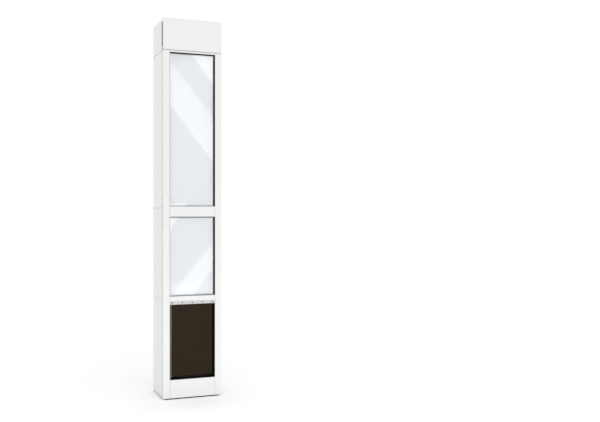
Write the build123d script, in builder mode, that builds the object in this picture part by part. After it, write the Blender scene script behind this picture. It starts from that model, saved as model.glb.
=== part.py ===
"""Patio-door pet panel: a tall, narrow glazed panel with a swinging pet flap at its foot.

Units are millimetres. +X is the panel's right, +Y its back and +Z up. The origin is the middle of
the base, on the surface that the panel stands on. The front frame carries the glass and the flap,
a deep casing stands behind it, and a height-adjusting cap slides on a core above both.
"""

import os

from build123d import *

# ---------------------------------------------------------------- driving dimensions
WIDTH = 332.0
DEPTH = 280.0
HEIGHT = 2116.0
OPENING_WIDTH = 259.0
FRAME_DEPTH = 50.0
WALL = 2.2
EDGE_RADIUS = 1.5
JOINT_CHAMFER = 0.6

BASE_SEAL_HEIGHT = 6.0
SILL_TOP = 107.0
FLAP_HEAD = 544.0
LOWER_WINDOW_SILL = 571.0
LOWER_WINDOW_HEAD = 1014.0
UPPER_WINDOW_SILL = 1072.0
UPPER_WINDOW_HEAD = 1929.0
BODY_TOP = 1939.0
CAP_BOTTOM = 1941.0
LOWER_SEAM = 552.0
UPPER_SEAM = 1063.0

# The cap stands a little proud of the body in front, and flush with it elsewhere
CAP_OVERHANG = 3.0
HALF_WIDTH = WIDTH / 2
HALF_OPENING = OPENING_WIDTH / 2
CAP_FRONT = -DEPTH / 2
FRONT = CAP_FRONT + CAP_OVERHANG
BACK = DEPTH / 2
FRAME_BACK = FRONT + FRAME_DEPTH
STILE_WIDTH = HALF_WIDTH - HALF_OPENING

# The channel along each outer edge of the front frame
CHANNEL_WIDTH = 16.0
CHANNEL_DEPTH = 3.0
CHANNEL_Y = FRONT + 24.0

# Keeper plate in the left channel, at hand height
KEEPER_Z = 1041.0
KEEPER_LENGTH = 223.0
KEEPER_WIDTH = 12.0
KEEPER_THICKNESS = 2.2
KEEPER_SLOT_WIDTH = 6.4
KEEPER_SLOT_LENGTH = 40.0
KEEPER_SCREW_Z = [KEEPER_Z + step for step in (-71.0, -28.0, 28.0, 71.0)]
KEEPER_SCREW_RADIUS = 1.9
KEEPER_HEAD_RADIUS = 4.0

# Corner keys and their screws
KEY_LENGTH = 40.0
KEY_PLAY = 0.2
KEY_SCREW_RADIUS = 2.4
KEY_HOLE_RADIUS = 2.5
KEY_HEAD_RADIUS = 4.2
KEY_HEAD_HEIGHT = 3.0
KEY_ACCESS_RADIUS = 4.8

# Screw holes into the door jamb, through the right-hand casing
JAMB_HOLE_RADIUS = 3.0
JAMB_ACCESS_RADIUS = 7.0
JAMB_HOLE_Y = (FRAME_BACK + BACK) / 2
JAMB_HOLE_Z = (800.0, 1500.0)

# Glazing
GLASS_FRONT = FRONT + 22.0
PANE = 4.0
PANE_GAP = 4.0
LINER = 2.0
LINER_SETBACK = 1.0
LIP_SIDE = 3.0
LIP_HEAD = 2.4
LIP_SILL = 2.0
LIP_DEPTH = 3.0
SPACER_WIDTH = 5.0
SETTING_BLOCK = 1.5
BEAD_WIDTH = 10.0
BEAD_DEPTH = 11.0
GLASS_BACK = GLASS_FRONT + 2 * PANE + PANE_GAP

# Flap and its frame
FLAP_FRAME_FRONT = FRONT + 6.0
FLAP_FRAME_BACK = FRONT + 38.0
FLAP_FRAME_SIDE = 12.5
FLAP_FRAME_FOOT = 13.0
FLAP_FRAME_BEVEL = 5.0
EDGE_STRIP = 1.2
CLAMP_BAR_HEIGHT = 20.0
CLAMP_BAR_DEPTH = 6.0
FLAP_THICKNESS = 4.0
FLAP_SIDE_GAP = 1.5
FLAP_FOOT_GAP = 4.0
FLAP_Y = FLAP_FRAME_FRONT + CLAMP_BAR_DEPTH + FLAP_THICKNESS / 2
CLAMP_FOOT = FLAP_HEAD - CLAMP_BAR_HEIGHT
HINGE_Z = CLAMP_FOOT - 5.0
CLAMP_SCREW_PITCH = 57.5
CLAMP_SCREW_RADIUS = 1.9
CLAMP_HOLE_RADIUS = 2.0
CLAMP_HEAD_RADIUS = 4.0
CLAMP_HEAD_HEIGHT = 2.4
MAGNET_LENGTH = 190.0
MAGNET_HEIGHT = 10.0

# Cap and the core that it slides on
CAP_WALL = 3.0
CORE_HALF_WIDTH = 140.0
CORE_FRONT = FRONT + 7.0
CORE_BACK = BACK - 13.5
CORE_WALL = 2.5
HEAD_PLATE = 3.0
HEAD_PLATE_INSET = 6.0
CORE_TOP = 2095.0
CAP_TRAVEL = 76.0
CLAMP_BOLT_X = 80.0
CLAMP_BOLT_Z = 2070.0
CLAMP_BOLT_RADIUS = 3.0
CLAMP_SLOT_WIDTH = 7.0
DIMPLE_WIDTH = 34.0
DIMPLE_HEIGHT = 112.0
DIMPLE_DEPTH = 8.0
RUNNING_GAP = 0.3

# Edge bolt in the cap's left wall
TRAY_FOOT = 1958.0
TRAY_HEAD = 2096.0
TRAY_WIDTH = 14.0
TRAY_DEPTH = 14.0
TRAY_WALL = 1.5
TRAY_PLAY = 0.1
BOLT_X = -146.7
BOLT_RADIUS = 4.0
BOLT_HOLE_RADIUS = 4.08
BOLT_FOOT = 1958.0
BOLT_TRAVEL = 30.0
KNOB_FOOT = 1960.0
KNOB_HEIGHT = 20.0
KNOB_WIDTH = 9.0
CARRIER_HEIGHT = 14.0
CARRIER_WIDTH = 12.0

SIDES = {"left": -1, "right": 1}

# How a cylinder sits on its plane: rising from it, or hanging below it
STANDING = (Align.CENTER, Align.CENTER, Align.MIN)
HANGING = (Align.CENTER, Align.CENTER, Align.MAX)


# ---------------------------------------------------------------- helpers
def middle(span):
    """The middle of a (low, high) span."""
    return (span[0] + span[1]) / 2


def length(span):
    """The length of a (low, high) span."""
    return span[1] - span[0]


def mirrored(span, side):
    """A (low, high) span of x on the right, or its mirror image on the left."""
    return (span[0], span[1]) if side > 0 else (-span[1], -span[0])


def add_box(x, y, z, mode=Mode.ADD):
    """Adds, or cuts, a box between three (low, high) spans in the part being built."""
    with Locations((middle(x), middle(y), middle(z))):
        Box(length(x), length(y), length(z), mode=mode)


def write(piece, name):
    """Labels a finished piece and writes it as one STEP file."""
    piece.part.label = name
    export_step(piece.part, f"parts/{name}.step")


def chambers(span, count, wall):
    """Splits a span into count cavities with walls between and around them."""
    clear = (length(span) - (count + 1) * wall) / count
    starts = [span[0] + wall + i * (clear + wall) for i in range(count)]
    return [(start, start + clear) for start in starts]


# ---------------------------------------------------------------- front frame
CAVITY_X = (HALF_OPENING + WALL, HALF_WIDTH - CHANNEL_DEPTH - WALL)
CHANNEL_FLOOR = (HALF_WIDTH - CHANNEL_DEPTH - WALL, HALF_WIDTH)


def rail_cavities(z, count):
    """The cavities of a front rail between two heights."""
    return chambers(z, count, WALL)


FRONT_RAILS = {
    "bottom_rail": ((BASE_SEAL_HEIGHT, SILL_TOP), 2),
    "lower_rail": ((FLAP_HEAD, LOWER_WINDOW_SILL), 1),
    "mid_rail": ((LOWER_WINDOW_HEAD, UPPER_WINDOW_SILL), 1),
    "top_rail": ((UPPER_WINDOW_HEAD, BODY_TOP), 1),
}
KEYED_RAILS = ("bottom_rail", "lower_rail", "mid_rail")
KEY_HEIGHTS = [
    cavity for name in KEYED_RAILS for cavity in rail_cavities(*FRONT_RAILS[name])
]
KEY_Y = (FRONT + WALL + KEY_PLAY, FRAME_BACK - WALL - KEY_PLAY)
KEY_SCREW_Y = (FRONT + FRAME_BACK) / 2


def make_stile(name, side):
    """One upright of the front frame: a hollow extrusion with a channel along its outer edge."""
    x = mirrored((HALF_OPENING, HALF_WIDTH), side)
    cavity = mirrored(CAVITY_X, side)
    channel = mirrored((HALF_WIDTH - CHANNEL_DEPTH, HALF_WIDTH), side)
    with BuildPart() as stile:
        with BuildSketch(Plane.XY.offset(BASE_SEAL_HEIGHT)):
            with Locations((middle(x), middle((FRONT, FRAME_BACK)))):
                Rectangle(STILE_WIDTH, FRAME_DEPTH)
            with Locations((middle(channel), CHANNEL_Y)):
                Rectangle(CHANNEL_DEPTH, CHANNEL_WIDTH, mode=Mode.SUBTRACT)
            with Locations((middle(cavity), middle((FRONT, FRAME_BACK)))):
                Rectangle(length(cavity), FRAME_DEPTH - 2 * WALL, mode=Mode.SUBTRACT)
        extrude(amount=BODY_TOP - BASE_SEAL_HEIGHT)
        fillet(stile.edges().filter_by(Axis.Z).group_by(Axis.Y)[0], EDGE_RADIUS)
        # Key-screw holes in the inner wall, with wider access holes in the channel's floor
        for cavity_z in KEY_HEIGHTS:
            with Locations(Plane((0, KEY_SCREW_Y, middle(cavity_z)), z_dir=(side, 0, 0))):
                with Locations((0, 0, HALF_OPENING + WALL / 2)):
                    Cylinder(KEY_HOLE_RADIUS, 2 * WALL, mode=Mode.SUBTRACT)
                with Locations((0, 0, middle(CHANNEL_FLOOR))):
                    Cylinder(KEY_ACCESS_RADIUS, 2 * CHANNEL_DEPTH + WALL, mode=Mode.SUBTRACT)
        if side < 0:
            floor = mirrored(CHANNEL_FLOOR, side)
            slot_y = (CHANNEL_Y - KEEPER_SLOT_WIDTH / 2, CHANNEL_Y + KEEPER_SLOT_WIDTH / 2)
            slot_z = (KEEPER_Z - KEEPER_SLOT_LENGTH / 2, KEEPER_Z + KEEPER_SLOT_LENGTH / 2)
            add_box(floor, slot_y, slot_z, Mode.SUBTRACT)
            for z in KEEPER_SCREW_Z:
                with Locations(Plane((middle(floor), CHANNEL_Y, z), z_dir=(1, 0, 0))):
                    Cylinder(KEEPER_SCREW_RADIUS, 2 * length(floor), mode=Mode.SUBTRACT)
    write(stile, name)


def make_front_rail(name, z, count):
    """One cross rail of the front frame, hollow along X, with its front ends eased."""
    with BuildPart() as rail:
        with BuildSketch(Plane.YZ.offset(-HALF_OPENING)):
            with Locations((middle((FRONT, FRAME_BACK)), middle(z))):
                Rectangle(FRAME_DEPTH, length(z))
            for cavity in rail_cavities(z, count):
                with Locations((middle((FRONT, FRAME_BACK)), middle(cavity))):
                    Rectangle(FRAME_DEPTH - 2 * WALL, length(cavity), mode=Mode.SUBTRACT)
        extrude(amount=OPENING_WIDTH)
        front_face = rail.faces().sort_by(Axis.Y)[0]
        chamfer(front_face.edges().filter_by(Axis.Z), JOINT_CHAMFER)
        chamfer(rail.faces().sort_by(Axis.Y)[0].edges().filter_by(Axis.X), JOINT_CHAMFER)
    write(rail, name)


def make_corner_keys():
    """Blocks inside the ends of the rails, which the screws through the stiles draw up."""
    with BuildPart() as keys:
        for side in SIDES.values():
            x = mirrored((HALF_OPENING - KEY_LENGTH, HALF_OPENING), side)
            for cavity in KEY_HEIGHTS:
                add_box(x, KEY_Y, (cavity[0] + KEY_PLAY, cavity[1] - KEY_PLAY))
                with Locations(Plane((middle(x), KEY_SCREW_Y, middle(cavity)), z_dir=(1, 0, 0))):
                    Cylinder(KEY_HOLE_RADIUS, KEY_LENGTH, mode=Mode.SUBTRACT)
    write(keys, "corner_keys")


def make_key_screws():
    """The pan-head screws that hold the rails to the stiles."""
    shank = KEY_LENGTH * 0.75 + WALL
    with BuildPart() as screws:
        for side in SIDES.values():
            for cavity in KEY_HEIGHTS:
                head_seat = (side * (HALF_OPENING + WALL), KEY_SCREW_Y, middle(cavity))
                with Locations(Plane(head_seat, z_dir=(side, 0, 0))):
                    Cylinder(KEY_HEAD_RADIUS, KEY_HEAD_HEIGHT, align=STANDING)
                    Cylinder(KEY_SCREW_RADIUS, shank, align=HANGING)
    write(screws, "rail_screws")


# ---------------------------------------------------------------- casing behind the frame
CASING_Y = (FRAME_BACK, BACK)
CASING_CHAMBERS = 3


def make_side_panel(name, side, z):
    """One length of the casing's side: a three-chamber extrusion whose outer ends are eased."""
    x = mirrored((HALF_OPENING, HALF_WIDTH), side)
    with BuildPart() as panel:
        with BuildSketch(Plane.XY.offset(z[0])):
            with Locations((middle(x), middle(CASING_Y))):
                Rectangle(STILE_WIDTH, length(CASING_Y))
            for cavity in chambers(CASING_Y, CASING_CHAMBERS, WALL):
                with Locations((middle(x), middle(cavity))):
                    Rectangle(STILE_WIDTH - 2 * WALL, length(cavity), mode=Mode.SUBTRACT)
        extrude(amount=length(z))
        fillet(panel.edges().filter_by(Axis.Z).group_by(Axis.Y)[-1], EDGE_RADIUS)
        outer_face = panel.faces().sort_by(Axis.X)[-1 if side > 0 else 0]
        seams = outer_face.edges().filter_by(Axis.Y) + outer_face.edges().sort_by(Axis.Y)[:1]
        chamfer(seams, JOINT_CHAMFER)
        if side > 0:
            for hole_z in JAMB_HOLE_Z:
                if z[0] < hole_z < z[1]:
                    with Locations(Plane((HALF_WIDTH, JAMB_HOLE_Y, hole_z), z_dir=(1, 0, 0))):
                        Cylinder(JAMB_HOLE_RADIUS, 4 * WALL, mode=Mode.SUBTRACT)
                    with Locations(Plane((HALF_OPENING, JAMB_HOLE_Y, hole_z), z_dir=(1, 0, 0))):
                        Cylinder(JAMB_ACCESS_RADIUS, 4 * WALL, mode=Mode.SUBTRACT)
    write(panel, name)


def make_transom(name, z):
    """One cross member of the casing, hollow along X, between the two sides."""
    with BuildPart() as transom:
        with BuildSketch(Plane.YZ.offset(-HALF_OPENING)):
            with Locations((middle(CASING_Y), middle(z))):
                Rectangle(length(CASING_Y), length(z))
            for cavity in chambers(CASING_Y, CASING_CHAMBERS, WALL):
                with Locations((middle(cavity), middle(z))):
                    Rectangle(length(cavity), length(z) - 2 * WALL, mode=Mode.SUBTRACT)
        extrude(amount=OPENING_WIDTH)
        back_face = transom.faces().sort_by(Axis.Y)[-1]
        chamfer(back_face.edges().filter_by(Axis.Z), JOINT_CHAMFER)
    write(transom, name)


def make_base_seal():
    """Four rubber strips under the panel, which stop short of its corners."""
    strip, end_gap = 20.0, 2.0
    side_inset, face_inset, corner_inset = 8.0, 2.0, 18.0
    z = (0.0, BASE_SEAL_HEIGHT)
    front_strip = (FRONT + face_inset, FRONT + face_inset + strip)
    back_strip = (BACK - face_inset - strip, BACK - face_inset)
    half_length = HALF_WIDTH - corner_inset
    with BuildPart() as seal:
        for y in (front_strip, back_strip):
            add_box((-half_length, half_length), y, z)
        for side in SIDES.values():
            x = mirrored((HALF_WIDTH - side_inset - strip, HALF_WIDTH - side_inset), side)
            add_box(x, (front_strip[1] + end_gap, back_strip[0] - end_gap), z)
    write(seal, "base_seal")


def write_group(name, *pieces):
    """Writes several pieces as one node of separate solids."""
    group = Compound(label=name, children=[s for piece in pieces for s in piece.part.solids()])
    export_step(group, f"parts/{name}.step")


# ---------------------------------------------------------------- edge fittings
def make_keeper():
    """Plate in the left channel with the slot that a sliding door's hook enters, and its screws."""
    x = (-HALF_WIDTH + CHANNEL_DEPTH - KEEPER_THICKNESS, -HALF_WIDTH + CHANNEL_DEPTH)
    y = (CHANNEL_Y - KEEPER_WIDTH / 2, CHANNEL_Y + KEEPER_WIDTH / 2)
    z = (KEEPER_Z - KEEPER_LENGTH / 2, KEEPER_Z + KEEPER_LENGTH / 2)
    outward = [Plane((x[0], CHANNEL_Y, height), z_dir=(-1, 0, 0)) for height in KEEPER_SCREW_Z]
    with BuildPart() as plate:
        add_box(x, y, z)
        fillet(plate.edges().filter_by(Axis.X), 3.0)
        slot_y = (CHANNEL_Y - KEEPER_SLOT_WIDTH / 2, CHANNEL_Y + KEEPER_SLOT_WIDTH / 2)
        slot_z = (KEEPER_Z - KEEPER_SLOT_LENGTH / 2, KEEPER_Z + KEEPER_SLOT_LENGTH / 2)
        add_box(x, slot_y, slot_z, Mode.SUBTRACT)
        with Locations(*outward):
            CounterSinkHole(KEEPER_SCREW_RADIUS, KEEPER_HEAD_RADIUS, counter_sink_angle=90)
    write(plate, "keeper_plate")

    head_depth = KEEPER_HEAD_RADIUS - KEEPER_SCREW_RADIUS
    play = 0.08
    with BuildPart() as screws:
        for height in KEEPER_SCREW_Z:
            with BuildSketch(Plane((x[0], CHANNEL_Y, height), x_dir=(0, 1, 0), z_dir=(0, 0, 1))) as half:
                # Turned about the screw's own axis: local x runs outwards from it, local y inwards
                with BuildLine():
                    Polyline(
                        (0, 0),
                        (KEEPER_HEAD_RADIUS - play, 0),
                        (KEEPER_SCREW_RADIUS - play, -head_depth),
                        (KEEPER_SCREW_RADIUS - play, -12),
                        (0, -12),
                        close=True,
                    )
                make_face()
            revolve(half.sketch, axis=Axis((x[0], CHANNEL_Y, height), (1, 0, 0)))
    write(screws, "keeper_screws")


def make_edge_piles():
    """Pile weatherstrip in the channels: in two lengths on the left, above and below the keeper."""
    pile_width, pile_height, end_gap = 10.4, 2.4, 2.0
    y = (CHANNEL_Y - pile_width / 2, CHANNEL_Y + pile_width / 2)
    x = (HALF_WIDTH - CHANNEL_DEPTH, HALF_WIDTH - CHANNEL_DEPTH + pile_height)
    foot, head = BASE_SEAL_HEIGHT + end_gap, BODY_TOP - end_gap
    below = KEEPER_Z - KEEPER_LENGTH / 2 - end_gap
    above = KEEPER_Z + KEEPER_LENGTH / 2 + end_gap
    runs = {"left": [(foot, below), (above, head)], "right": [(foot, head)]}
    for name, side in SIDES.items():
        with BuildPart() as pile:
            for z in runs[name]:
                add_box(mirrored(x, side), y, z)
        write(pile, f"{name}_edge_pile")


# ---------------------------------------------------------------- glazing
def facing_back(y):
    """The XZ plane at depth y, whose normal points to the back."""
    return Plane((0, y, 0), x_dir=(1, 0, 0), z_dir=(0, -1, 0))


def make_glazing(name, sill, head):
    """A sealed double pane, its gasket, its setting blocks and the bead behind it."""
    glass_x = HALF_OPENING - LINER - 1.0
    glass_z = (sill + SETTING_BLOCK, head - LINER - 1.0)
    liner_front = FRONT + LINER_SETBACK
    liner_back = GLASS_BACK - 0.2

    with BuildPart() as gasket:
        # Liner on both sides and the head
        with BuildSketch(facing_back(liner_back)):
            with Locations((0, middle((sill, head)))):
                Rectangle(OPENING_WIDTH, head - sill)
            with Locations((0, middle((sill, head - LINER)))):
                Rectangle(OPENING_WIDTH - 2 * LINER, head - sill - LINER, mode=Mode.SUBTRACT)
        extrude(amount=liner_back - liner_front)
        # Lip against the glass, all the way round
        with BuildSketch(facing_back(GLASS_FRONT)):
            with Locations((0, middle((sill, head)))):
                Rectangle(OPENING_WIDTH, head - sill)
            with Locations((0, middle((sill + LIP_SILL, head - LINER - LIP_HEAD)))):
                clear_height = head - sill - LIP_SILL - LINER - LIP_HEAD
                Rectangle(OPENING_WIDTH - 2 * (LINER + LIP_SIDE), clear_height, mode=Mode.SUBTRACT)
        extrude(amount=LIP_DEPTH)
    write(gasket, f"{name}_gasket")

    panes = {"outer_pane": GLASS_FRONT, "inner_pane": GLASS_FRONT + PANE + PANE_GAP}
    for pane_name, y in panes.items():
        with BuildPart() as pane:
            add_box((-glass_x, glass_x), (y, y + PANE), glass_z)
        write(pane, f"{name}_{pane_name}")

    with BuildPart() as spacer:
        with BuildSketch(facing_back(GLASS_FRONT + PANE + PANE_GAP)):
            with Locations((0, middle(glass_z))):
                Rectangle(2 * glass_x, length(glass_z))
                inner_x, inner_z = glass_x - SPACER_WIDTH, length(glass_z) / 2 - SPACER_WIDTH
                Rectangle(2 * inner_x, 2 * inner_z, mode=Mode.SUBTRACT)
        extrude(amount=PANE_GAP)
    write(spacer, f"{name}_spacer")

    with BuildPart() as blocks:
        for x in ((-75.0, -45.0), (45.0, 75.0)):
            add_box(x, (GLASS_FRONT + 0.5, GLASS_BACK - 0.5), (sill, sill + SETTING_BLOCK))
    write(blocks, f"{name}_setting_blocks")

    bead_y = (GLASS_BACK, GLASS_BACK + BEAD_DEPTH)
    inner_x = HALF_OPENING - BEAD_WIDTH
    with BuildPart() as upright_beads:
        for side in SIDES.values():
            add_box(mirrored((inner_x, HALF_OPENING), side), bead_y, (sill, head))
        chamfer(upright_beads.faces().sort_by(Axis.Y)[-2:].edges().filter_by(Axis.Z), 2.0)
    with BuildPart() as cross_beads:
        for z in ((sill, sill + BEAD_WIDTH), (head - BEAD_WIDTH, head)):
            add_box((-inner_x, inner_x), bead_y, z)
        chamfer(cross_beads.faces().sort_by(Axis.Y)[-2:].edges().filter_by(Axis.X), 2.0)
    write_group(f"{name}_bead", upright_beads, cross_beads)


# ---------------------------------------------------------------- pet flap
CLEAR_X = HALF_OPENING - FLAP_FRAME_SIDE
CLEAR_FOOT = SILL_TOP + FLAP_FRAME_FOOT
FLAP_FOOT = CLEAR_FOOT + FLAP_FOOT_GAP
CLAMP_SCREW_X = [step * CLAMP_SCREW_PITCH for step in (-2, -1, 0, 1, 2)]
HEEL_Y = (FLAP_Y - FLAP_THICKNESS / 2, FLAP_Y + FLAP_THICKNESS / 2)
CLAMP_SCREW_Z = middle((CLAMP_FOOT, FLAP_HEAD))
CLAMP_SCREW_REACH = 24.0


def clamp_screw_places(y):
    """The five places of the clamp screws at depth y, facing the front."""
    return [Plane((x, y, CLAMP_SCREW_Z), z_dir=(0, -1, 0)) for x in CLAMP_SCREW_X]


def make_flap_frame():
    """The moulded frame round the flap, bevelled towards it, with a ledge for the clamp bar."""
    with BuildPart() as frame:
        with BuildSketch(facing_back(FLAP_FRAME_BACK)):
            with Locations((0, middle((SILL_TOP, FLAP_HEAD)))):
                Rectangle(OPENING_WIDTH, FLAP_HEAD - SILL_TOP)
            with Locations((0, middle((CLEAR_FOOT, CLAMP_FOOT)))):
                Rectangle(2 * CLEAR_X, CLAMP_FOOT - CLEAR_FOOT, mode=Mode.SUBTRACT)
        extrude(amount=FLAP_FRAME_BACK - FLAP_FRAME_FRONT)
        ledge_y = (FLAP_FRAME_FRONT - 1, HEEL_Y[1])
        add_box((-HALF_OPENING, HALF_OPENING), ledge_y, (CLAMP_FOOT, FLAP_HEAD + 1), Mode.SUBTRACT)
        front_face = frame.faces().filter_by(Axis.Y).sort_by(Axis.Y)[0]
        inner = front_face.edges().filter_by(Axis.Z).sort_by(Axis.X)[1:-1]
        chamfer(inner, FLAP_FRAME_BEVEL)
        magnet_x = (-MAGNET_LENGTH / 2, MAGNET_LENGTH / 2)
        add_box(magnet_x, (FLAP_Y - 4, FLAP_Y + 4), (CLEAR_FOOT - 2, CLEAR_FOOT), Mode.SUBTRACT)
        with Locations(*clamp_screw_places(FLAP_FRAME_FRONT)):
            Cylinder(
                CLAMP_HOLE_RADIUS,
                CLAMP_SCREW_REACH + 1.0,
                align=HANGING,
                mode=Mode.SUBTRACT,
            )
    write(frame, "flap_frame")

    with BuildPart() as strip:
        play = 0.1
        strip_x = (-MAGNET_LENGTH / 2 + play, MAGNET_LENGTH / 2 - play)
        add_box(strip_x, (FLAP_Y - 4 + play, FLAP_Y + 4 - play), (CLEAR_FOOT - 2, CLEAR_FOOT - play))
    write(strip, "flap_frame_magnet")


def make_edge_strip():
    """The thin metal strip over the front and the bevel of the flap frame's left bar."""
    outer_x, inner_x = -HALF_OPENING, -CLEAR_X
    front_y = FLAP_FRAME_FRONT
    bend_x, bevel_y = inner_x - FLAP_FRAME_BEVEL, front_y + FLAP_FRAME_BEVEL
    fold = EDGE_STRIP * 0.4
    with BuildPart() as strip:
        with BuildSketch(Plane.XY.offset(CLEAR_FOOT)):
            with BuildLine():
                Polyline(
                    (outer_x, front_y),
                    (outer_x, front_y - EDGE_STRIP),
                    (bend_x + fold, front_y - EDGE_STRIP),
                    (inner_x, bevel_y - EDGE_STRIP - fold),
                    (inner_x, bevel_y),
                    (bend_x, front_y),
                    close=True,
                )
            make_face()
        extrude(amount=CLAMP_FOOT - CLEAR_FOOT)
        # Below the bevel the strip goes on flat, down to the sill
        add_box((outer_x, bend_x), (front_y - EDGE_STRIP, front_y), (SILL_TOP, CLEAR_FOOT))
    write(strip, "flap_edge_strip")


def make_flap():
    """The swinging sheet, the magnet in its foot and the heel of the sheet that the bar clamps."""
    half = CLEAR_X - FLAP_SIDE_GAP
    pocket_x = (-MAGNET_LENGTH / 2, MAGNET_LENGTH / 2)
    pocket_z = (FLAP_FOOT + 2, FLAP_FOOT + 2 + MAGNET_HEIGHT)
    with BuildPart() as flap:
        add_box((-half, half), HEEL_Y, (FLAP_FOOT, HINGE_Z + 1))
        fillet(flap.edges().filter_by(Axis.Y).group_by(Axis.Z)[0], 8.0)
        add_box(pocket_x, HEEL_Y, pocket_z, Mode.SUBTRACT)
    write(flap, "flap")

    play = 0.1
    with BuildPart() as magnet:
        x = (pocket_x[0] + play, pocket_x[1] - play)
        y = (HEEL_Y[0] + play, HEEL_Y[1] - play)
        add_box(x, y, (pocket_z[0] + play, pocket_z[1] - play))
    write(magnet, "flap_magnet")

    with BuildPart() as heel:
        add_box((-HALF_OPENING + 1, HALF_OPENING - 1), HEEL_Y, (CLAMP_FOOT + 0.5, FLAP_HEAD - 0.5))
        with Locations(*clamp_screw_places(FLAP_Y)):
            Cylinder(CLAMP_HOLE_RADIUS, 2 * FLAP_THICKNESS, mode=Mode.SUBTRACT)
    write(heel, "flap_heel")


def make_clamp_bar():
    """The bar that clamps the flap's heel, and its five pan-head screws."""
    with BuildPart() as bar:
        y = (FLAP_FRAME_FRONT, FLAP_FRAME_FRONT + CLAMP_BAR_DEPTH)
        add_box((-HALF_OPENING + 0.5, HALF_OPENING - 0.5), y, (CLAMP_FOOT + 0.5, FLAP_HEAD - 0.5))
        chamfer(bar.faces().sort_by(Axis.Y)[0].edges(), 1.0)
        with Locations(*clamp_screw_places(FLAP_FRAME_FRONT)):
            Cylinder(CLAMP_HOLE_RADIUS, 3 * CLAMP_BAR_DEPTH, mode=Mode.SUBTRACT)
    write(bar, "flap_clamp_bar")

    with BuildPart() as screws:
        with Locations(*clamp_screw_places(FLAP_FRAME_FRONT)):
            Cylinder(CLAMP_HEAD_RADIUS, CLAMP_HEAD_HEIGHT, align=STANDING)
            Cylinder(CLAMP_SCREW_RADIUS, CLAMP_SCREW_REACH, align=HANGING)
        fillet(screws.edges().group_by(Axis.Y)[0], 1.2)
    write(screws, "flap_clamp_screws")


# ---------------------------------------------------------------- height-adjusting cap
CAP_INNER_X = HALF_WIDTH - CAP_WALL
CAP_INNER_FRONT = CAP_FRONT + CAP_WALL
CAP_INNER_BACK = BACK - CAP_WALL
DIMPLE_Z = (HEIGHT - 141.0, HEIGHT - 141.0 + DIMPLE_HEIGHT)
SLOT_TOP = CLAMP_BOLT_Z + CLAMP_SLOT_WIDTH / 2 + 0.5
SLOT_FOOT = CLAMP_BOLT_Z - CAP_TRAVEL - CLAMP_SLOT_WIDTH / 2 - 0.5
TRAY_Y = (CHANNEL_Y - TRAY_WIDTH / 2, CHANNEL_Y + TRAY_WIDTH / 2)
TRAY_TAB_SCREW_Z = 1948.0
TRAY_SCREW_RADIUS = 2.0
TRAY_HEAD_RADIUS = 4.0


def facing_left(x, y, z):
    """A plane at a point whose normal points to the left."""
    return Plane((x, y, z), z_dir=(-1, 0, 0))


def make_cap_shell():
    """The cap's one-piece shell, open at the foot, with slotted dimples in its back wall."""
    with BuildPart() as shell:
        add_box((-HALF_WIDTH, HALF_WIDTH), (CAP_FRONT, BACK), (CAP_BOTTOM, HEIGHT))
        fillet(shell.edges().filter_by(Axis.Z), EDGE_RADIUS)
        fillet(shell.faces().sort_by(Axis.Z)[-1].edges(), EDGE_RADIUS)
        add_box(
            (-CAP_INNER_X, CAP_INNER_X),
            (CAP_INNER_FRONT, CAP_INNER_BACK),
            (CAP_BOTTOM - 1, HEIGHT - CAP_WALL),
            Mode.SUBTRACT,
        )
        for side in SIDES.values():
            centre = side * CLAMP_BOLT_X
            boss_x = (centre - DIMPLE_WIDTH / 2 - CAP_WALL, centre + DIMPLE_WIDTH / 2 + CAP_WALL)
            boss_z = (DIMPLE_Z[0] - CAP_WALL, DIMPLE_Z[1] + CAP_WALL)
            add_box(boss_x, (CAP_INNER_BACK - DIMPLE_DEPTH, CAP_INNER_BACK), boss_z)
            pocket_x = (centre - DIMPLE_WIDTH / 2, centre + DIMPLE_WIDTH / 2)
            add_box(pocket_x, (BACK - DIMPLE_DEPTH, BACK), DIMPLE_Z, Mode.SUBTRACT)
            slot_centre = (centre, BACK, middle((SLOT_FOOT, SLOT_TOP)))
            with BuildSketch(Plane(slot_centre, x_dir=(0, 0, 1), z_dir=(0, -1, 0))):
                SlotOverall(SLOT_TOP - SLOT_FOOT, CLAMP_SLOT_WIDTH)
            extrude(amount=DIMPLE_DEPTH + 2 * CAP_WALL, mode=Mode.SUBTRACT)
        # Opening for the edge bolt's tray, its screw and the bolt's bush
        add_box((-HALF_WIDTH, -CAP_INNER_X), TRAY_Y, (TRAY_FOOT, TRAY_HEAD), Mode.SUBTRACT)
        with Locations(facing_left(-HALF_WIDTH, CHANNEL_Y, TRAY_TAB_SCREW_Z)):
            CounterSinkHole(TRAY_SCREW_RADIUS, TRAY_HEAD_RADIUS, 2 * CAP_WALL, counter_sink_angle=90)
        with Locations((BOLT_X, CHANNEL_Y, HEIGHT)):
            Cylinder(6.0, 3 * CAP_WALL, mode=Mode.SUBTRACT)
    write(shell, "cap_shell")


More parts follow.
